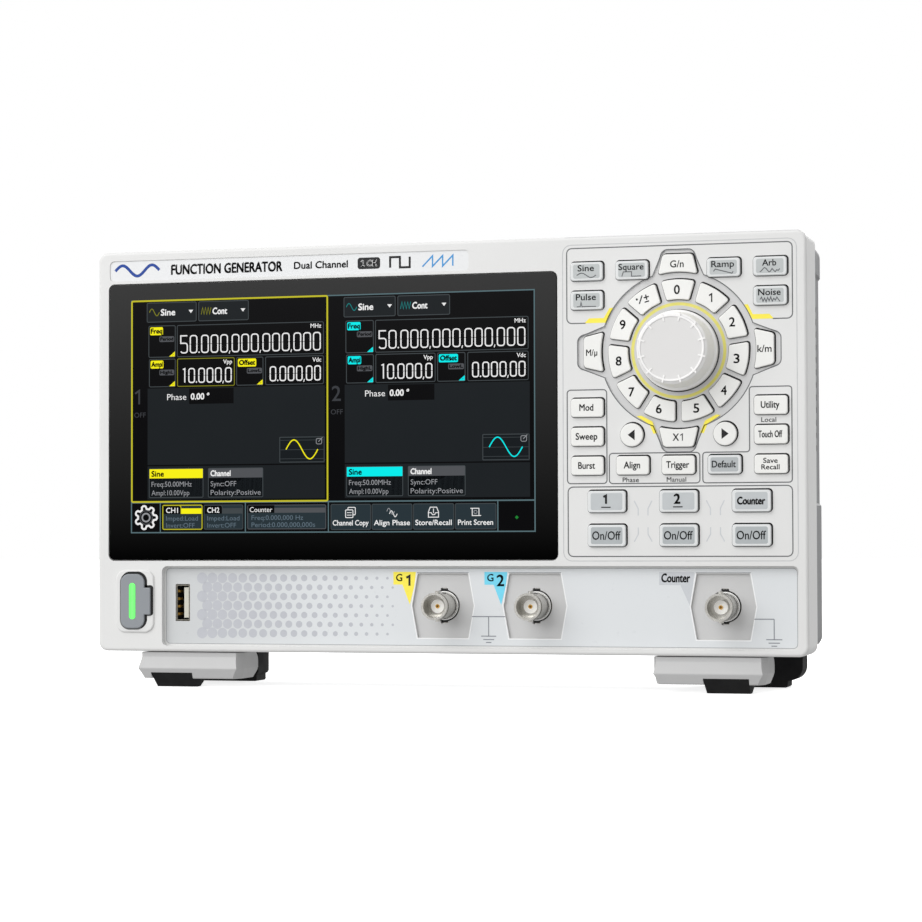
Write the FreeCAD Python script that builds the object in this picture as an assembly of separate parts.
"""Bench function generator: one STEP file per sub-part, in millimetres.

Frame: origin on the ground under the middle of the footprint, +X to the right as seen from the front,
+Y from the front face to the back, +Z up. "Panel height" below means height above the housing's bottom.
"""

import math
import os

import FreeCAD
import Part
from FreeCAD import Vector

# ---- overall size -------------------------------------------------------------------------------
WIDTH = 265.35
TOTAL_HEIGHT = 161.75
TOTAL_DEPTH = 77.16
FOOT_HEIGHT = 13.25
HOUSING_HEIGHT = TOTAL_HEIGHT - FOOT_HEIGHT
KNOB_PROUD = 13.18
FRONT_Y = -TOTAL_DEPTH / 2 + KNOB_PROUD
BACK_Y = TOTAL_DEPTH / 2
PARTING_Y = FRONT_Y + 21.0

# ---- housings -----------------------------------------------------------------------------------
CORNER_R = 3.5
FRONT_EDGE_R = 1.2
SIDE_WALL = 2.4
PANEL_T = 2.6
REAR_WALL = 2.2
REAR_INSET = 1.3
REAR_TOP_INSET = 0.3
REAR_TAPER = 2.8
REAR_EDGE_R = 3.6
FIT_GAP = 0.35

# ---- display ------------------------------------------------------------------------------------
GLASS_X = (-128.2, 43.4)
GLASS_H = (33.8, 136.25)
GLASS_R = 2.0
GLASS_T = 1.5
GLASS_LEDGE = 4.5
NAME_STRIP_X = (-128.1, 11.1)
NAME_STRIP_H = (137.5, 145.2)
NAME_STRIP_DEPTH = 0.35
LCD_T = 5.5

# ---- keypad -------------------------------------------------------------------------------------
RING_X = 87.35
RING_H = 107.2
COLUMN_PITCH = 16.35
KEY_W = 11.7
KEY_H = 6.5
KEY_R = 1.1
CHANNEL_KEY_W = 13.6
CHANNEL_KEY_H = 7.6
CHANNEL_PITCH = 25.75
ARROW_R = 4.1
KEY_PROUD = 1.3
KEY_TRAVEL = 0.8
KEY_GAP = 0.3
KEY_FLANGE = 0.6
KEY_POST_R = 1.6
PAD_RECESS = 0.5
PAD_R = 27.8
LOBE_FOOT = (9.3, 25.0)
LOBE_HALF_TOP = 5.8
LOBE_REACH_UPRIGHT = 35.5
LOBE_REACH_LEVEL = 36.1
DIGIT_KEYS = 11
DIGIT_R_IN = 18.0
DIGIT_R_OUT = 25.0
DIGIT_WEB = 2.4
LOBE_KEY_IN = 27.7
LOBE_KEY_OUT = 33.9
LOBE_KEY_HALF_IN = 6.8
LOBE_KEY_HALF_OUT = 5.3
BOARD_Y = FRONT_Y + PANEL_T + 3.2
BOARD_T = 1.6

# ---- knob and encoder ---------------------------------------------------------------------------
KNOB_BASE_R = 14.2
KNOB_FACE_R = 11.6
KNOB_TICKS = 12
SHAFT_R = 3.0
RUNNING_GAP = 0.05
ENCODER_SIDE = 14.0

# ---- connector panel ----------------------------------------------------------------------------
TRAY_X = (-107.2, 129.2)
TRAY_H = (2.1, 31.5)
TRAY_DEPTH = 2.5
TRAY_T = 2.5
HEX_DEPTH = 1.0
HEX_X = (0.3, 34.45, 102.4)
HEX_H = 17.25
HEX_HALF_W = 11.5
HEX_HALF_TOP = 9.4
HEX_HALF_H = 11.55
BNC_H = 17.25
BNC_X = (0.65, 34.85, 102.9)
BNC_PROUD = 12.6
BNC_OUTER_R = 4.85
BNC_BORE_R = 4.05
BNC_HOLE_R = 5.75
USB_X = -99.9
USB_H = 18.0
USB_HALF_W = 2.6
USB_HALF_H = 6.6

# ---- power button -------------------------------------------------------------------------------
POWER_X = -118.4
POWER_H = 18.55
POWER_W = 9.4
POWER_L = 20.1
POWER_PROUD = 1.5
POWER_TRAVEL = 0.8

# ---- tilt legs and feet -------------------------------------------------------------------------
LEG_X = (76.9, 117.4)
LEG_DEPTH = 20.5
LEG_NOSE_DEPTH = 6.0
LEG_PIVOT_Y = FRONT_Y + LEG_DEPTH - 3.9
LEG_PIVOT_DROP = 4.5
LEG_PIN_R = 1.6
LEG_EAR_T = 3.0
LEG_CHEEK_T = 5.0
PAD_X = (95.4, 111.6)
REAR_FOOT_X = (86.5, 123.5)
REAR_FOOT_Y = (BACK_Y - 17.0, BACK_Y - 5.0)

# ---- back ---------------------------------------------------------------------------------------
VESA = 100.0
VESA_H = 82.0
VESA_HOLE_R = 2.05
SCREW_R = 1.45
SCREW_HOLE_R = 1.5
SCREW_HEAD_R = 2.8
SCREW_GRIP = 7.0
SCREW_BOSS_R = 4.2
POST_R = 2.2
VESA_BOSS_R = 4.5
VESA_BOSS_L = 10.0
VESA_THREAD_L = 8.0
VENT_BANK_X = 96.0
VENT_ROWS_H = (52.0, 78.0, 104.0)
VENT_PITCH = 4.0
VENT_HALF_W = 1.1
VENT_HALF_L = 10.5
SIDE_VENT_H = 74.0
SIDE_VENT_PITCH = 4.6
SIDE_VENTS = 12
SCREWS = ((-118.0, 137.0), (45.5, 137.0), (119.5, 118.0), (-84.0, 15.5), (68.0, 15.5), (121.0, 15.5))
BOARD_H = 5.9
BOARD_TOP_H = 7.5
BOARD_FRONT_Y = FRONT_Y + 9.0
BAY_X = (-66.0, 58.0)
BAY_H = (4.5, 25.3)
BAY_DEPTH = 11.5
BAY_WALL = 2.0
BACK_BNC_X = -20.0
BACK_BNC_H = 15.0
DEVICE_PORT_X = 12.0
DEVICE_PORT_HALF = (6.0, 5.7)
LAN_X = 40.0
LAN_HALF = (8.0, 7.2)
POWER_INLET_X = -50.0
POWER_INLET_HALF = (4.6, 1.8)
LOCK_SLOT_X = (98.0, 105.0)
LOCK_SLOT_H = 15.0
SIDE_RECESS = 0.8
SIDE_RECESS_H = (53.0, 137.0)


# ---- helpers ------------------------------------------------------------------------------------
def z_of(panel_height):
    """Row-frame Z of a height measured from the housing's bottom."""
    return FOOT_HEIGHT + panel_height


def block(x0, x1, y0, y1, z0, z1):
    return Part.makeBox(x1 - x0, y1 - y0, z1 - z0, Vector(x0, y0, z0))


def rod_y(x, z, r, y0, y1):
    return Part.makeCylinder(r, y1 - y0, Vector(x, y0, z), Vector(0, 1, 0))


def rod_x(y, z, r, x0, x1):
    return Part.makeCylinder(r, x1 - x0, Vector(x0, y, z), Vector(1, 0, 0))


def tube_y(x, z, r_out, r_in, y0, y1):
    return rod_y(x, z, r_out, y0, y1).cut(rod_y(x, z, r_in, y0 - 1, y1 + 1))


def rounded_wire(points, radii):
    """Closed wire through 3-D points in one plane, each corner rounded by its radius."""
    count = len(points)
    tangents = []
    for i in range(count):
        corner = Vector(*points[i])
        to_last = Vector(*points[i - 1]).sub(corner)
        to_next = Vector(*points[(i + 1) % count]).sub(corner)
        reach = radii[i] / math.tan(to_last.getAngle(to_next) / 2)
        to_last.normalize()
        to_next.normalize()
        start = corner.add(to_last * reach)
        end = corner.add(to_next * reach)
        bisector = to_last.add(to_next)
        bisector.normalize()
        centre_distance = math.hypot(radii[i], reach)
        middle = corner.add(bisector * (centre_distance - radii[i]))
        tangents.append((start, middle, end))
    edges = []
    for i in range(count):
        start, middle, end = tangents[i]
        if radii[i] > 0:
            edges.append(Part.Arc(start, middle, end).toShape())
        edges.append(Part.makeLine(end, tangents[(i + 1) % count][0]))
    return Part.Wire(edges)


def prism_y(outline, radii, y0, y1):
    """Prism along Y over an outline of (x, z) points."""
    wire = rounded_wire([(x, y0, z) for x, z in outline], radii)
    return Part.Face(wire).extrude(Vector(0, y1 - y0, 0))


def prism_x(outline, radii, x0, x1):
    """Prism along X over an outline of (y, z) points."""
    wire = rounded_wire([(x0, y, z) for y, z in outline], radii)
    return Part.Face(wire).extrude(Vector(x1 - x0, 0, 0))


def rectangle(x0, x1, z0, z1):
    return [(x0, z0), (x1, z0), (x1, z1), (x0, z1)]


def slab(x0, x1, z0, z1, r, y0, y1):
    """Rounded rectangle in X and Z, extruded along Y."""
    return prism_y(rectangle(x0, x1, z0, z1), [r] * 4, y0, y1)


def fuse(shapes):
    return shapes[0].multiFuse(shapes[1:]).removeSplitter()


def edges_at_y(shape, y):
    """Edges that lie wholly in the plane of this Y."""
    return [e for e in shape.Edges if abs(e.BoundBox.YMin - y) < 1e-4 and abs(e.BoundBox.YMax - y) < 1e-4]


def turned(shape, degrees, x, z):
    """A copy turned clockwise, as seen from the front, about the Y line through (x, z)."""
    copy = shape.copy()
    copy.rotate(Vector(x, 0, z), Vector(0, 1, 0), degrees)
    return copy


# ---- keys ---------------------------------------------------------------------------------------
def column_x(column):
    return RING_X + column * COLUMN_PITCH


def key_table():
    """Name -> (kind, column x or ring angle, panel height, width, height) of every key."""
    top, second = 135.9, 125.6
    third, fourth, fifth = 87.5, 77.25, 66.95
    select_row, output_row = 54.25, 42.25
    keys = {}
    for name, column, height in (
        ("key_sine", -2, top), ("key_square", -1, top), ("key_ramp", 1, top), ("key_arb", 2, top),
        ("key_pulse", -2, second), ("key_noise", 2, second),
        ("key_mod", -2, third), ("key_sweep", -2, fourth), ("key_burst", -2, fifth),
        ("key_align", -1, fifth), ("key_trigger", 0, fifth), ("key_default", 1, fifth),
        ("key_utility", 2, third), ("key_touch_off", 2, fourth), ("key_save_recall", 2, fifth),
    ):
        keys[name] = ("rect", column_x(column), height, KEY_W, KEY_H)
    for side, label in ((-1, "1"), (0, "2"), (1, "counter")):
        x = RING_X + side * CHANNEL_PITCH
        select = "key_counter" if label == "counter" else "key_channel_" + label
        keys[select] = ("rect", x, select_row, CHANNEL_KEY_W, CHANNEL_KEY_H)
        keys["key_output_" + label] = ("rect", x, output_row, CHANNEL_KEY_W, CHANNEL_KEY_H)
    keys["key_left"] = ("round", column_x(-1) - 0.3, 77.7, 2 * ARROW_R, 2 * ARROW_R)
    keys["key_right"] = ("round", column_x(1) + 0.2, 77.7, 2 * ARROW_R, 2 * ARROW_R)
    for i in range(DIGIT_KEYS):
        name = "key_%d" % i if i < 10 else "key_point_sign"
        keys[name] = ("digit", i * 360.0 / DIGIT_KEYS, 0, 0, 0)
    for i, name in enumerate(("key_g_n", "key_k_m", "key_x1", "key_m_u")):
        keys[name] = ("lobe", i * 90.0, 0, 0, 0)
    return keys


def digit_prism(grow, y0, y1):
    """Ring sector at twelve o'clock, with sides parallel to the web between the keys."""
    z = z_of(RING_H)
    ring = tube_y(RING_X, z, DIGIT_R_OUT + grow, DIGIT_R_IN - grow, y0, y1)
    half_turn = math.radians(180.0 / DIGIT_KEYS)
    shift = (DIGIT_WEB / 2 - grow) / math.cos(half_turn)
    spread = 2 * DIGIT_R_OUT
    apex_z = z + shift / math.tan(half_turn) * math.cos(half_turn)
    side = spread * math.tan(half_turn)
    wedge = prism_y([(RING_X, apex_z), (RING_X + side, apex_z + spread), (RING_X - side, apex_z + spread)],
                    [0, 0, 0], y0, y1)
    key = ring.common(wedge)
    uprights = [e for e in key.Edges if abs(e.BoundBox.YLength - (y1 - y0)) < 1e-4]
    return key.makeFillet(0.8 + grow, uprights)


def lobe_prism(grow, y0, y1):
    """Key outside the ring at twelve o'clock: narrow at the top, hollowed below to follow the ring."""
    z = z_of(RING_H)
    low = z + LOBE_KEY_IN - 4.0
    high = z + LOBE_KEY_OUT + grow
    slope = (LOBE_KEY_HALF_IN - LOBE_KEY_HALF_OUT) / (LOBE_KEY_OUT - LOBE_KEY_IN)
    half_out = LOBE_KEY_HALF_OUT + grow
    half_low = half_out + slope * (high - low)
    outline = [(RING_X - half_low, low), (RING_X + half_low, low),
               (RING_X + half_out, high), (RING_X - half_out, high)]
    body = prism_y(outline, [0, 0, 1.4, 1.4], y0, y1)
    key = body.cut(rod_y(RING_X, z, LOBE_KEY_IN - grow, y0 - 1, y1 + 1))
    feet = [e for e in key.Edges
            if abs(e.BoundBox.YLength - (y1 - y0)) < 1e-4 and e.BoundBox.ZMax < z + LOBE_KEY_IN]
    return key.makeFillet(0.6 + grow, feet)


def key_prism(spec, grow, y0, y1):
    kind, place, height, width, tall = spec
    if kind == "rect":
        z = z_of(height)
        return slab(place - width / 2 - grow, place + width / 2 + grow,
                    z - tall / 2 - grow, z + tall / 2 + grow, KEY_R + grow, y0, y1)
    if kind == "round":
        return rod_y(place, z_of(height), width / 2 + grow, y0, y1)
    shape = digit_prism(grow, y0, y1) if kind == "digit" else lobe_prism(grow, y0, y1)
    return turned(shape, place, RING_X, z_of(RING_H))


def key_centre(spec):
    kind, place, height, _, _ = spec
    if kind in ("rect", "round"):
        return place, z_of(height)
    reach = (DIGIT_R_IN + DIGIT_R_OUT) / 2 if kind == "digit" else (LOBE_KEY_IN + LOBE_KEY_OUT) / 2
    angle = math.radians(place)
    return RING_X + reach * math.sin(angle), z_of(RING_H) + reach * math.cos(angle)


def key(spec):
    """Cap with a softened front edge, a flange behind the panel and a post over its switch dome."""
    proud = KEY_PROUD - (PAD_RECESS if spec[0] in ("digit", "lobe") else 0)
    front = FRONT_Y - proud
    flange_y = FRONT_Y + PANEL_T + 0.05
    cap = key_prism(spec, 0, front, flange_y + 0.4)
    cap = cap.makeFillet(0.35, edges_at_y(cap, front))
    flange = key_prism(spec, KEY_FLANGE, flange_y, flange_y + 0.8)
    x, z = key_centre(spec)
    post = rod_y(x, z, KEY_POST_R, flange_y + 0.4, BOARD_Y - KEY_TRAVEL - 0.25)
    return fuse([cap, flange, post])


# ---- front housing ------------------------------------------------------------------------------
def pad_outline_prism(y0, y1):
    """Round keypad field with four lobes, one for each key outside the ring."""
    z = z_of(RING_H)
    shapes = [rod_y(RING_X, z, PAD_R, y0, y1)]
    half_foot, foot = LOBE_FOOT
    for i in range(4):
        reach = LOBE_REACH_LEVEL if i % 2 else LOBE_REACH_UPRIGHT
        outline = [(RING_X - half_foot, z + foot), (RING_X + half_foot, z + foot),
                   (RING_X + LOBE_HALF_TOP, z + reach), (RING_X - LOBE_HALF_TOP, z + reach)]
        shapes.append(turned(prism_y(outline, [0, 0, 2.2, 2.2], y0, y1), 90.0 * i, RING_X, z))
    return fuse(shapes)


def hexagon_prism(x, z, y0, y1):
    """Wide hexagon with its points to the left and right."""
    outline = [(x - HEX_HALF_W, z), (x - HEX_HALF_TOP, z - HEX_HALF_H), (x + HEX_HALF_TOP, z - HEX_HALF_H),
               (x + HEX_HALF_W, z), (x + HEX_HALF_TOP, z + HEX_HALF_H), (x - HEX_HALF_TOP, z + HEX_HALF_H)]
    return prism_y(outline, [0.4] * 6, y0, y1)


def bnc_panel_hole(x, z, y0, y1):
    notches = slab(x - 1.4, x + 1.4, z - 6.4, z + 6.4, 0.4, y0, y1)
    return rod_y(x, z, BNC_HOLE_R, y0, y1).fuse(notches)


def power_outline_prism(grow, y0, y1):
    """Upright rounded bar with a small tab on its right."""
    z = z_of(POWER_H)
    half_w = POWER_W / 2 + grow
    half_l = POWER_L / 2 + grow
    bar = slab(POWER_X - half_w, POWER_X + half_w, z - half_l, z + half_l, 3.2 + grow, y0, y1)
    tab = slab(POWER_X, POWER_X + half_w + 2.4, z - 5.0 - grow, z + 5.0 + grow, 0.5, y0, y1)
    return fuse([bar, tab])


def power_surround():
    z = z_of(POWER_H)
    rim = slab(POWER_X - 6.9, POWER_X + 8.2, z - 11.6, z + 11.6, 3.6, FRONT_Y - 0.7, FRONT_Y + 1.0)
    return rim.makeFillet(0.6, edges_at_y(rim, FRONT_Y - 0.7))


def front_shell():
    outer = slab(-WIDTH / 2, WIDTH / 2, z_of(0), z_of(HOUSING_HEIGHT), CORNER_R, FRONT_Y, PARTING_Y)
    outer = outer.makeFillet(FRONT_EDGE_R, edges_at_y(outer, FRONT_Y))
    inside = slab(-WIDTH / 2 + SIDE_WALL, WIDTH / 2 - SIDE_WALL,
                  z_of(SIDE_WALL), z_of(HOUSING_HEIGHT - SIDE_WALL), 1.5, FRONT_Y + PANEL_T, PARTING_Y + 1)
    return outer.cut(inside)


def ear_places():
    """Low X of the two ears between the cheeks of the right-hand leg."""
    return LEG_X[0] + LEG_CHEEK_T + 0.3, LEG_X[1] - LEG_CHEEK_T - 0.3 - LEG_EAR_T


def leg_ears(side):
    """Two ears that hang from the front housing and hold one tilt leg's pivots."""
    z = z_of(-LEG_PIVOT_DROP)
    ears = []
    for x0 in ear_places():
        ear = rod_x(LEG_PIVOT_Y, z, 3.6, x0, x0 + LEG_EAR_T)
        web = block(x0, x0 + LEG_EAR_T, LEG_PIVOT_Y - 1.9, LEG_PIVOT_Y + 3.6, z, z_of(SIDE_WALL / 2))
        ears.append(ear.fuse(web))
    pair = Part.makeCompound(ears)
    if side < 0:
        pair = pair.mirror(Vector(0, 0, 0), Vector(1, 0, 0))
    return pair


def front_housing():
    tray_back = FRONT_Y + TRAY_DEPTH + TRAY_T
    tray = slab(TRAY_X[0] - 2.2, WIDTH / 2 - 1.0, z_of(1.0), z_of(TRAY_H[1] + 2.0), 1.5,
                FRONT_Y + 2.0, tray_back)
    solids = [front_shell(), tray, power_surround(), leg_ears(1), leg_ears(-1)]
    for x, height in SCREWS:
        root = tray_back - 0.5 if height < TRAY_H[1] else FRONT_Y + PANEL_T - 0.5
        solids.append(rod_y(x, z_of(height), POST_R, root, PARTING_Y))
    body = fuse(solids)

    cuts = [slab(GLASS_X[0] - FIT_GAP, GLASS_X[1] + FIT_GAP,
                 z_of(GLASS_H[0] - FIT_GAP), z_of(GLASS_H[1] + FIT_GAP), GLASS_R + FIT_GAP,
                 FRONT_Y - 1, FRONT_Y + GLASS_T + 0.1)]
    cuts.append(slab(GLASS_X[0] + GLASS_LEDGE, GLASS_X[1] - GLASS_LEDGE, z_of(GLASS_H[0] + GLASS_LEDGE),
                     z_of(GLASS_H[1] - GLASS_LEDGE), 1.0, FRONT_Y, FRONT_Y + PANEL_T + 1))
    cuts.append(slab(*NAME_STRIP_X, z_of(NAME_STRIP_H[0]), z_of(NAME_STRIP_H[1]), 1.8,
                     FRONT_Y - 1, FRONT_Y + NAME_STRIP_DEPTH))
    cuts.append(slab(*TRAY_X, z_of(TRAY_H[0]), z_of(TRAY_H[1]), 2.0, FRONT_Y - 1, FRONT_Y + TRAY_DEPTH))
    cuts.append(pad_outline_prism(FRONT_Y - 1, FRONT_Y + PAD_RECESS))
    cuts.append(rod_y(RING_X, z_of(RING_H), 4.9, FRONT_Y - 1, FRONT_Y + PANEL_T + 1))
    for spec in key_table().values():
        cuts.append(key_prism(spec, KEY_GAP, FRONT_Y - 1, FRONT_Y + PANEL_T + 0.5))
    cuts.append(power_outline_prism(KEY_GAP, FRONT_Y - 2, FRONT_Y + PANEL_T + 0.5))
    for x in HEX_X:
        cuts.append(hexagon_prism(x, z_of(HEX_H), FRONT_Y, FRONT_Y + TRAY_DEPTH + HEX_DEPTH))
    for x in BNC_X:
        cuts.append(bnc_panel_hole(x, z_of(BNC_H), FRONT_Y, tray_back + 1))
    cuts.append(slab(USB_X - USB_HALF_W - 0.25, USB_X + USB_HALF_W + 0.25,
                     z_of(USB_H - USB_HALF_H - 0.25), z_of(USB_H + USB_HALF_H + 0.25), 0.3,
                     FRONT_Y, tray_back + 1))
    for x, height in SCREWS:
        cuts.append(rod_y(x, z_of(height), SCREW_HOLE_R, PARTING_Y - SCREW_GRIP - 0.5, PARTING_Y + 1))
    for side in (-1, 1):
        cuts.append(rod_x(LEG_PIVOT_Y, z_of(-LEG_PIVOT_DROP), LEG_PIN_R + RUNNING_GAP,
                          min(side * LEG_X[0], side * LEG_X[1]), max(side * LEG_X[0], side * LEG_X[1])))
    return body.cut(Part.makeCompound(cuts))


# ---- rear cover ---------------------------------------------------------------------------------
def rear_section(wall, taper, y, r):
    """Outline of the cover at one depth, moved inwards by a wall's thickness."""
    half = WIDTH / 2 - REAR_INSET - wall - taper
    outline = rectangle(-half, half, z_of(REAR_INSET + wall), z_of(HOUSING_HEIGHT - REAR_TOP_INSET - wall))
    return rounded_wire([(x, y, z) for x, z in outline], [r] * 4)


def rear_shell():
    outer = Part.makeLoft([rear_section(0, 0, PARTING_Y, 4.0),
                           rear_section(0, REAR_TAPER, BACK_Y, 4.0)], True, True)
    outer = outer.makeFillet(REAR_EDGE_R, edges_at_y(outer, BACK_Y))
    inner = Part.makeLoft([rear_section(REAR_WALL, 0, PARTING_Y - 0.01, 3.0),
                           rear_section(REAR_WALL, REAR_TAPER, BACK_Y - REAR_WALL, 3.0)], True, True)
    return outer.cut(inner)


def vent_cuts():
    """Rows of upright slots in the back and along both sides."""
    cuts = []
    for bank_x in (-VENT_BANK_X, VENT_BANK_X):
        for column in range(-6, 7):
            x = bank_x + column * VENT_PITCH
            for row in VENT_ROWS_H:
                cuts.append(slab(x - VENT_HALF_W, x + VENT_HALF_W, z_of(row - VENT_HALF_L),
                                 z_of(row + VENT_HALF_L), 1.0, BACK_Y - REAR_WALL - 2, BACK_Y + 1))
    for side in (-1, 1):
        for i in range(SIDE_VENTS):
            height = SIDE_VENT_H + SIDE_VENT_PITCH * i
            x = side * WIDTH / 2
            cuts.append(block(x - 9, x + 9, PARTING_Y + 10, PARTING_Y + 30,
                              z_of(height - VENT_HALF_W), z_of(height + VENT_HALF_W)))
    return cuts


def side_recess(side):
    """Shallow step in the cover's side that runs out at the back, following the taper."""
    lean = math.degrees(math.atan(REAR_TAPER / (BACK_Y - PARTING_Y)))
    half = WIDTH / 2 - REAR_INSET
    beyond = 3.0
    low, high = z_of(SIDE_RECESS_H[0]), z_of(SIDE_RECESS_H[1])
    outline = [(half - SIDE_RECESS, low + SIDE_RECESS), (half + beyond, low - beyond),
               (half + beyond, high + beyond), (half - SIDE_RECESS, high - SIDE_RECESS)]
    panel = prism_y(outline, [0] * 4, PARTING_Y + 4.0, BACK_Y + beyond)
    panel.rotate(Vector(half, PARTING_Y, 0), Vector(0, 0, 1), lean)
    return panel if side > 0 else mirrored(panel)


def back_ports():
    """Place and half size of each boxed socket in the back bay; all of them stand on the main board."""
    return ((DEVICE_PORT_X, DEVICE_PORT_HALF), (LAN_X, LAN_HALF), (POWER_INLET_X, POWER_INLET_HALF))


def rear_cover():
    solids = [rear_shell()]
    for x, height in SCREWS:
        solids.append(rod_y(x, z_of(height), SCREW_BOSS_R, PARTING_Y, BACK_Y - 1.0))
    for x in (-VESA / 2, VESA / 2):
        for height in (VESA_H - VESA / 2, VESA_H + VESA / 2):
            solids.append(rod_y(x, z_of(height), VESA_BOSS_R, BACK_Y - VESA_BOSS_L, BACK_Y - 1.0))
    bay_floor = BACK_Y - BAY_DEPTH
    solids.append(slab(BAY_X[0] - BAY_WALL, BAY_X[1] + BAY_WALL,
                       z_of(BAY_H[0] - BAY_WALL), z_of(BAY_H[1] + BAY_WALL), 1.5,
                       bay_floor - BAY_WALL, BACK_Y - 1.0))
    body = fuse(solids)

    cuts = vent_cuts()
    cuts.append(slab(BAY_X[0], BAY_X[1], z_of(BAY_H[0]), z_of(BAY_H[1]), 1.5, bay_floor, BACK_Y + 1))
    cuts += [side_recess(1), side_recess(-1)]
    for x, height in SCREWS:
        cuts.append(rod_y(x, z_of(height), SCREW_R + 0.25, PARTING_Y - 1, PARTING_Y + SCREW_GRIP))
        cuts.append(rod_y(x, z_of(height), SCREW_HEAD_R + 0.3, PARTING_Y + SCREW_GRIP - 1, BACK_Y + 1))
    for x in (-VESA / 2, VESA / 2):
        for height in (VESA_H - VESA / 2, VESA_H + VESA / 2):
            cuts.append(rod_y(x, z_of(height), VESA_HOLE_R, BACK_Y - VESA_THREAD_L, BACK_Y + 1))
    through = (bay_floor - BAY_WALL - 1, bay_floor + 1)
    cuts.append(rod_y(BACK_BNC_X, z_of(BACK_BNC_H), BNC_HOLE_R, *through))
    for x, (half_w, half_h) in back_ports():
        z = z_of(BOARD_TOP_H) + half_h
        half_w += 0.3
        half_h += 0.3
        cuts.append(slab(x - half_w, x + half_w, z - half_h, z + half_h, 0.2, *through))
    cuts.append(slab(*LOCK_SLOT_X, z_of(LOCK_SLOT_H) - 1.6, z_of(LOCK_SLOT_H) + 1.6, 1.4,
                     BACK_Y - REAR_WALL - 2, BACK_Y + 1))
    return body.cut(Part.makeCompound(cuts))


# ---- display ------------------------------------------------------------------------------------
def display_glass():
    glass = slab(*GLASS_X, z_of(GLASS_H[0]), z_of(GLASS_H[1]), GLASS_R, FRONT_Y, FRONT_Y + GLASS_T)
    return glass.makeFillet(0.3, edges_at_y(glass, FRONT_Y))


def lcd_module():
    y0 = FRONT_Y + PANEL_T + 0.1
    frame = slab(GLASS_X[0] + 3.2, GLASS_X[1] - 3.2, z_of(GLASS_H[0] + 3.2), z_of(GLASS_H[1] - 4.0), 0.8,
                 y0, y0 + LCD_T)
    panel = slab(GLASS_X[0] + 5.2, GLASS_X[1] - 5.2, z_of(GLASS_H[0] + 5.2), z_of(GLASS_H[1] - 5.2), 0.5,
                 y0 - 0.8, y0 + 1.0)
    return fuse([frame, panel])


# ---- boards -------------------------------------------------------------------------------------
def switch_boards():
    """Keypad board with a switch dome under every key, and a small board behind the power button."""
    board = slab(46.0, 129.2, z_of(35.2), z_of(140.6), 1.5, BOARD_Y, BOARD_Y + BOARD_T)
    solids = [board]
    for spec in key_table().values():
        x, z = key_centre(spec)
        solids.append(rod_y(x, z, 2.4, BOARD_Y - 0.2, BOARD_Y + 0.2))
    board = fuse(solids)
    cuts = [rod_y(RING_X, z_of(RING_H), 4.9, BOARD_Y - 1, BOARD_Y + BOARD_T + 1)]
    for x, height in SCREWS:
        cuts.append(rod_y(x, z_of(height), 2.5, BOARD_Y - 1, BOARD_Y + BOARD_T + 1))
    board = board.cut(Part.makeCompound(cuts))
    power_y = FRONT_Y + PANEL_T + 3.2
    power = slab(POWER_X - 6.0, POWER_X + 6.4, z_of(POWER_H - 10.5), z_of(POWER_H + 10.5), 1.0,
                 power_y, power_y + BOARD_T)
    return Part.makeCompound([board, power])


def main_board():
    """Level board across the housing's floor that carries the front and back sockets."""
    low, top = z_of(BOARD_H), z_of(BOARD_TOP_H)
    board = block(-112.0, 118.0, BOARD_FRONT_Y, BACK_Y - BAY_DEPTH - BAY_WALL - 0.5, low, top)
    shield = block(-6.0, 60.0, BOARD_FRONT_Y + 11.0, BOARD_FRONT_Y + 23.0, top, top + 3.0)
    heat_fins = [block(x, x + 1.4, BOARD_FRONT_Y + 12.0, BOARD_FRONT_Y + 22.0, top + 3.0, top + 12.0)
                 for x in [2.0 + 4.0 * i for i in range(13)]]
    riser = block(USB_X - USB_HALF_W, USB_X + USB_HALF_W, BOARD_FRONT_Y, BOARD_FRONT_Y + 6.0,
                  top, z_of(USB_H - USB_HALF_H))
    return fuse([board, shield, riser] + heat_fins)


# ---- knob and encoder ---------------------------------------------------------------------------
def knob_cap():
    x, z = RING_X, z_of(RING_H)
    back = FRONT_Y - 0.4
    face = FRONT_Y - KNOB_PROUD
    outline = [(0, face + 0.3), (KNOB_FACE_R - 0.8, face + 0.3), (KNOB_FACE_R - 0.55, face),
               (KNOB_FACE_R - 0.1, face), (12.5, face + 1.4),
               (13.4, back - 2.6), (KNOB_BASE_R, back - 1.6), (KNOB_BASE_R, back), (0, back)]
    points = [Vector(x + r, y, z) for r, y in outline]
    profile = Part.Face(Part.makePolygon(points + [points[0]]))
    knob = profile.revolve(Vector(x, 0, z), Vector(0, 1, 0), 360)
    skirt = tube_y(x, z, 11.6, 5.0, face + 4.0, back + 1)
    bore = rod_y(x, z, SHAFT_R, face + 3.0, back + 1)
    ribs = []
    for i in range(KNOB_TICKS):
        rib = block(x - 0.28, x + 0.28, face + 0.06, face + 1.7, z + KNOB_FACE_R - 1.9, z + 12.35)
        ribs.append(turned(rib, (i + 0.5) * 360.0 / KNOB_TICKS, x, z))
    return fuse([knob] + ribs).cut(Part.makeCompound([skirt, bore]))


def shaft_flat(grow, y0, y1):
    """Part of a shaft's circle beyond its flat, as the solid to cut away."""
    x, z = RING_X, z_of(RING_H)
    return block(x - 5, x + 5, y0, y1, z + 2.1 + grow, z + 6)


def encoder_shaft():
    front = FRONT_Y - KNOB_PROUD + 3.0
    end = FRONT_Y + 12.4
    shaft = rod_y(RING_X, z_of(RING_H), SHAFT_R, front, end)
    return shaft.cut(shaft_flat(0, FRONT_Y + 8.0, end + 1))


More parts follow.
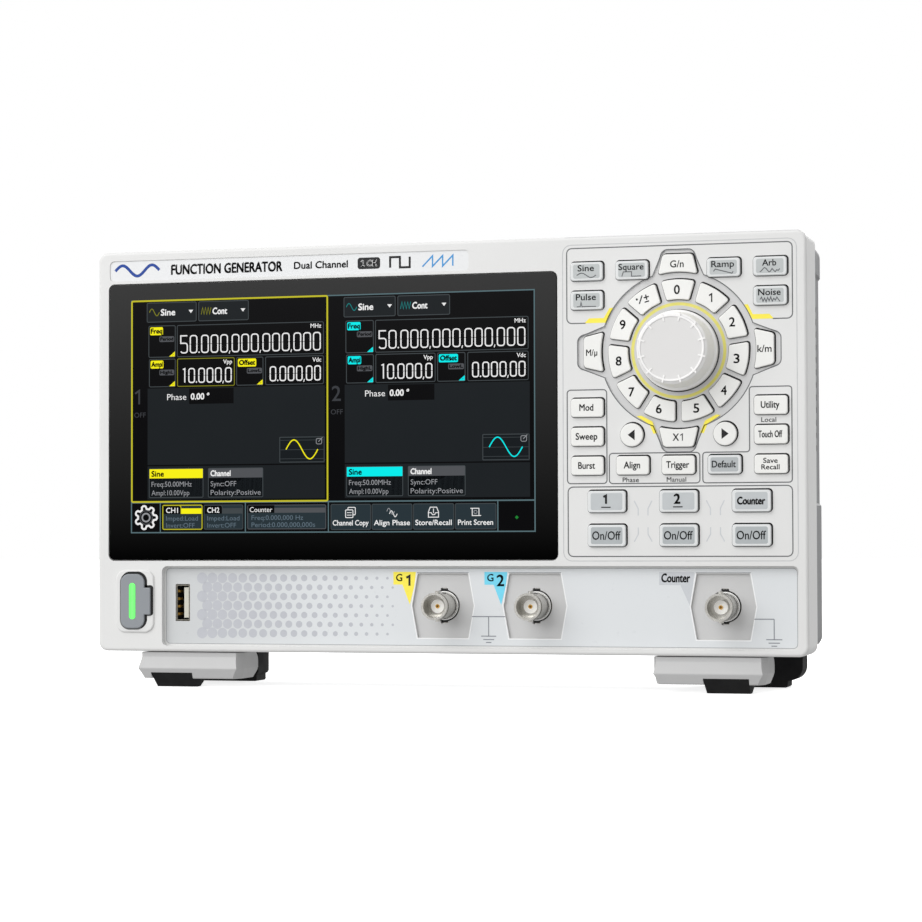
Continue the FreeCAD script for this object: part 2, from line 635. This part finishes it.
def encoder_rotor():
    """Detent disc that turns with the shaft's flat while the shaft slides through it."""
    y0, y1 = FRONT_Y + 9.4, FRONT_Y + 11.4
    x, z = RING_X, z_of(RING_H)
    hole = rod_y(x, z, SHAFT_R + RUNNING_GAP, y0 - 1, y1 + 1).cut(shaft_flat(RUNNING_GAP, y0 - 2, y1 + 2))
    return rod_y(x, z, 5.6, y0, y1).cut(hole)


def encoder_body():
    x, z = RING_X, z_of(RING_H)
    case_y = BOARD_Y + BOARD_T
    half = ENCODER_SIDE / 2
    case = block(x - half, x + half, case_y, FRONT_Y + 14.6, z - half, z + half)
    bushing = rod_y(x, z, 4.5, FRONT_Y + 0.9, case_y + 0.5)
    body = fuse([case, bushing])
    cuts = [rod_y(x, z, SHAFT_R + RUNNING_GAP, FRONT_Y, FRONT_Y + 13.4)]
    cuts.append(rod_y(x, z, 6.1, FRONT_Y + 9.0, FRONT_Y + 11.8))
    return body.cut(Part.makeCompound(cuts))


# ---- power button -------------------------------------------------------------------------------
def power_light():
    z = z_of(POWER_H)
    return slab(POWER_X - 1.25, POWER_X + 1.25, z - 6.7, z + 6.7, 1.2,
                FRONT_Y - POWER_PROUD - 0.1, FRONT_Y + 1.5)


def power_button():
    front = FRONT_Y - POWER_PROUD
    flange_y = FRONT_Y + PANEL_T + 0.05
    cap = power_outline_prism(0, front, flange_y + 0.4)
    cap = cap.makeFillet(0.4, edges_at_y(cap, front))
    flange = power_outline_prism(KEY_FLANGE, flange_y, flange_y + 0.8)
    post = rod_y(POWER_X, z_of(POWER_H), KEY_POST_R, flange_y + 0.4, BOARD_Y - POWER_TRAVEL - 0.25)
    return fuse([cap, flange, post]).cut(power_light())


# ---- sockets ------------------------------------------------------------------------------------
def span(rim, inwards, near, far):
    ends = sorted((rim + inwards * near, rim + inwards * far))
    return ends[0], ends[1]


def bnc_shell(x, z, inwards, rim, panel):
    """Bayonet socket: barrel with two lugs, a collar behind the panel and a square base."""
    barrel = rod_y(x, z, BNC_OUTER_R, *span(rim, inwards, 0, panel + 0.2))
    groove = tube_y(x, z, BNC_OUTER_R + 1, BNC_OUTER_R - 0.35, *span(rim, inwards, 1.2, 2.2))
    collar = rod_y(x, z, 6.9, *span(rim, inwards, panel, panel + 1.2))
    base = block(x - 7.2, x + 7.2, *span(rim, inwards, panel + 1.2, panel + 10.0),
                 z_of(BOARD_TOP_H), z + 7.2)
    lug_y = rim + inwards * 4.8
    lugs = Part.makeCylinder(0.95, 2 * 5.5, Vector(x, lug_y, z - 5.5), Vector(0, 0, 1))
    shell = fuse([barrel, collar, base, lugs]).cut(groove)
    return shell.cut(rod_y(x, z, BNC_BORE_R, *span(rim, inwards, -1, 10.0)))


def bnc_places():
    """x, z, inward direction, rim Y and rim-to-collar distance of every bayonet socket."""
    rim = FRONT_Y + TRAY_DEPTH - BNC_PROUD
    places = [(x, z_of(BNC_H), 1, rim, BNC_PROUD + TRAY_T + 0.05) for x in BNC_X]
    places.append((BACK_BNC_X, z_of(BACK_BNC_H), -1, BACK_Y, BAY_DEPTH + BAY_WALL + 0.05))
    return places


def bnc_shells():
    return Part.makeCompound([bnc_shell(*place) for place in bnc_places()])


def bnc_contacts():
    solids = []
    for x, z, inwards, rim, _ in bnc_places():
        pin = tube_y(x, z, 0.75, 0.42, *span(rim, inwards, 4.4, 10.0))
        solids.append(pin)
    return Part.makeCompound(solids)


def socket_insulators():
    """White core of each bayonet socket and the tongues of the flat data sockets."""
    solids = []
    for x, z, inwards, rim, _ in bnc_places():
        solids.append(tube_y(x, z, 2.45, 0.75, *span(rim, inwards, 4.7, 10.0)))
    usb_y = FRONT_Y + TRAY_DEPTH
    z = z_of(USB_H)
    solids.append(block(USB_X + 0.2, USB_X + 2.0, usb_y + 1.0, usb_y + 12.0, z - 5.6, z + 5.6))
    mouth = BACK_Y - BAY_DEPTH - 1.0
    tongues = (back_ports()[0] + (2.8, 1.6), back_ports()[2] + (3.3, 0.35))
    for x, (_, half_h), tongue_w, tongue_h in tongues:
        z = z_of(BOARD_TOP_H) + half_h
        solids.append(block(x - tongue_w, x + tongue_w, mouth - 8.6, mouth, z - tongue_h, z + tongue_h))
    return Part.makeCompound(solids)


def port_can(x, z, half_w, half_h, wall, mouth_y, depth, inwards):
    """Open metal can of a data socket; its mouth faces out of the panel."""
    outer = block(x - half_w, x + half_w, *span(mouth_y, inwards, 0, depth), z - half_h, z + half_h)
    hollow = block(x - half_w + wall, x + half_w - wall, *span(mouth_y, inwards, -1, depth - 1.0),
                   z - half_h + wall, z + half_h - wall)
    return outer.cut(hollow)


def port_shells():
    cans = [port_can(USB_X, z_of(USB_H), USB_HALF_W, USB_HALF_H, 0.35, FRONT_Y + TRAY_DEPTH + 0.3, 12.7, 1)]
    for (x, (half_w, half_h)), wall, depth in zip(back_ports(), (0.5, 1.4, 0.3), (12.0, 16.0, 10.4)):
        z = z_of(BOARD_TOP_H) + half_h
        cans.append(port_can(x, z, half_w, half_h, wall, BACK_Y - BAY_DEPTH - 0.2, depth, -1))
    return Part.makeCompound(cans)


# ---- legs and feet ------------------------------------------------------------------------------
def leg_envelope(y, top_inset, nose_inset, low_inset):
    """Outline of the leg as seen from the front, its ends set in by three amounts."""
    levels = ((1.0, top_inset), (-2.0, top_inset), (-6.2, nose_inset), (-11.0, low_inset))
    left = [Vector(LEG_X[0] + inset, y, z_of(level)) for level, inset in levels]
    right = [Vector(LEG_X[1] - inset, y, z_of(level)) for level, inset in reversed(levels)]
    return Part.makePolygon(left + right + [left[0]])


def leg_block():
    """Right-hand leg: a bar with a bevelled nose and a rounded heel about its pivot."""
    y0 = FRONT_Y
    drop = z_of(0)
    back = y0 + LEG_DEPTH
    side = [(y0 + 1.5, drop - 0.35), (y0 + 1.5, drop - 2.0), (y0 - 0.4, drop - 6.2), (y0 + 1.2, drop - 10.0),
            (back - 2.8, drop - 10.0), (back, drop - 7.4), (back, drop - 0.6)]
    bar = prism_x(side, [0, 0.4, 0.8, 0.8, 0.8, 0.8, 3.7], LEG_X[0], LEG_X[1])
    middle = leg_envelope(y0 + LEG_NOSE_DEPTH, 0, 0, 1.3)
    nose = Part.makeLoft([leg_envelope(y0 - 2.0, 3.0, 1.1, 5.0), middle], True, True)
    rear = Part.makeLoft([middle, leg_envelope(back + 2, 0, 0, 1.3)], True, True)
    bar = bar.common(nose.fuse(rear))
    ear_room = [block(x - 0.3, x + LEG_EAR_T + 0.3, LEG_PIVOT_Y - 4.7, back + 2, drop - 11, drop + 1)
                for x in ear_places()]
    bar = bar.cut(Part.makeCompound(ear_room))
    first, last = ear_places()
    pin = rod_x(LEG_PIVOT_Y, drop - LEG_PIVOT_DROP, LEG_PIN_R, first - 1, last + LEG_EAR_T + 1)
    return fuse([bar, pin])


def pad_front():
    """Upper and lower end of the pad's slanting front face, seen from the side."""
    return (FRONT_Y - 0.45, z_of(-7.6)), (FRONT_Y + 6.0, 0)


def pad_block():
    """Rubber pad let into the underside of the right-hand leg."""
    y0 = FRONT_Y
    drop = z_of(0)
    side = [*pad_front(), (y0 + 10.0, 0), (y0 + 16.5, drop - 9.6), (y0 + 16.5, drop - 8.4),
            (y0 + 6.0, drop - 7.6)]
    bar = prism_x(side, [0.4, 0.8, 0.8, 0, 0, 0], PAD_X[0] - 1, PAD_X[1] + 1)
    front = [(PAD_X[0], drop), (PAD_X[0], drop - 8.0), (PAD_X[0] + 0.5, -1),
             (PAD_X[1] - 0.5, -1), (PAD_X[1], drop - 8.0), (PAD_X[1], drop)]
    return bar.common(prism_y(front, [0] * 6, y0 - 2, y0 + LEG_DEPTH))


def mirrored(shape):
    return shape.mirror(Vector(0, 0, 0), Vector(1, 0, 0))


def leg_right():
    """Right-hand leg, notched so that the pad's slanting front face shows."""
    upper, lower = pad_front()
    outline = [(FRONT_Y - 3.0, upper[1]), upper, lower, (FRONT_Y - 3.0, lower[1])]
    notch = prism_x(outline, [0, 0, 0, 0], PAD_X[0], PAD_X[1])
    return leg_block().cut(pad_block()).cut(notch)


def rear_foot():
    """Right-hand rear foot: a rounded block under the cover with a lower rubber tread."""
    top = z_of(REAR_INSET)
    x0, x1 = REAR_FOOT_X
    y0, y1 = REAR_FOOT_Y
    heel = prism_y(rectangle(x0, x1, 2.6, top), [1.5, 5.0, 0, 0], y0, y1)
    tread = slab(x0 + 1.0, x1 - 5.6, 0, 4.0, 0.8, y0 + 0.8, y1 - 0.8)
    return fuse([heel, tread])


def rear_feet():
    foot = rear_foot()
    return Part.makeCompound([foot, mirrored(foot)])


# ---- fasteners ----------------------------------------------------------------------------------
def case_screw(x, z):
    head_y = PARTING_Y + SCREW_GRIP
    shank = rod_y(x, z, SCREW_R, PARTING_Y - SCREW_GRIP, head_y + 0.2)
    head = rod_y(x, z, SCREW_HEAD_R, head_y, head_y + 2.2)
    slot_a = block(x - 1.7, x + 1.7, head_y + 1.2, head_y + 3.0, z - 0.35, z + 0.35)
    slot_b = block(x - 0.35, x + 0.35, head_y + 1.2, head_y + 3.0, z - 1.7, z + 1.7)
    return fuse([shank, head]).cut(slot_a.fuse(slot_b))


def case_screws():
    return Part.makeCompound([case_screw(x, z_of(height)) for x, height in SCREWS])


# ---- write every node ---------------------------------------------------------------------------
def all_nodes():
    nodes = {name: key(spec) for name, spec in key_table().items()}
    leg = leg_right()
    pad = pad_block()
    nodes.update({
        "front_housing": front_housing(),
        "rear_cover": rear_cover(),
        "display_glass": display_glass(),
        "lcd_module": lcd_module(),
        "switch_boards": switch_boards(),
        "main_board": main_board(),
        "knob_cap": knob_cap(),
        "encoder_shaft": encoder_shaft(),
        "encoder_rotor": encoder_rotor(),
        "encoder_body": encoder_body(),
        "power_button": power_button(),
        "power_light": power_light(),
        "bnc_shells": bnc_shells(),
        "bnc_contacts": bnc_contacts(),
        "socket_insulators": socket_insulators(),
        "port_shells": port_shells(),
        "leg_right": leg,
        "leg_left": mirrored(leg),
        "leg_pad_right": pad,
        "leg_pad_left": mirrored(pad),
        "rear_feet": rear_feet(),
        "case_screws": case_screws(),
    })
    return nodes


os.makedirs("parts", exist_ok=True)
for node_name, node_shape in all_nodes().items():
    if not node_shape.isValid() or not node_shape.Solids:
        raise ValueError("%s isn't a valid solid" % node_name)
    node_shape.exportStep("parts/%s.step" % node_name)
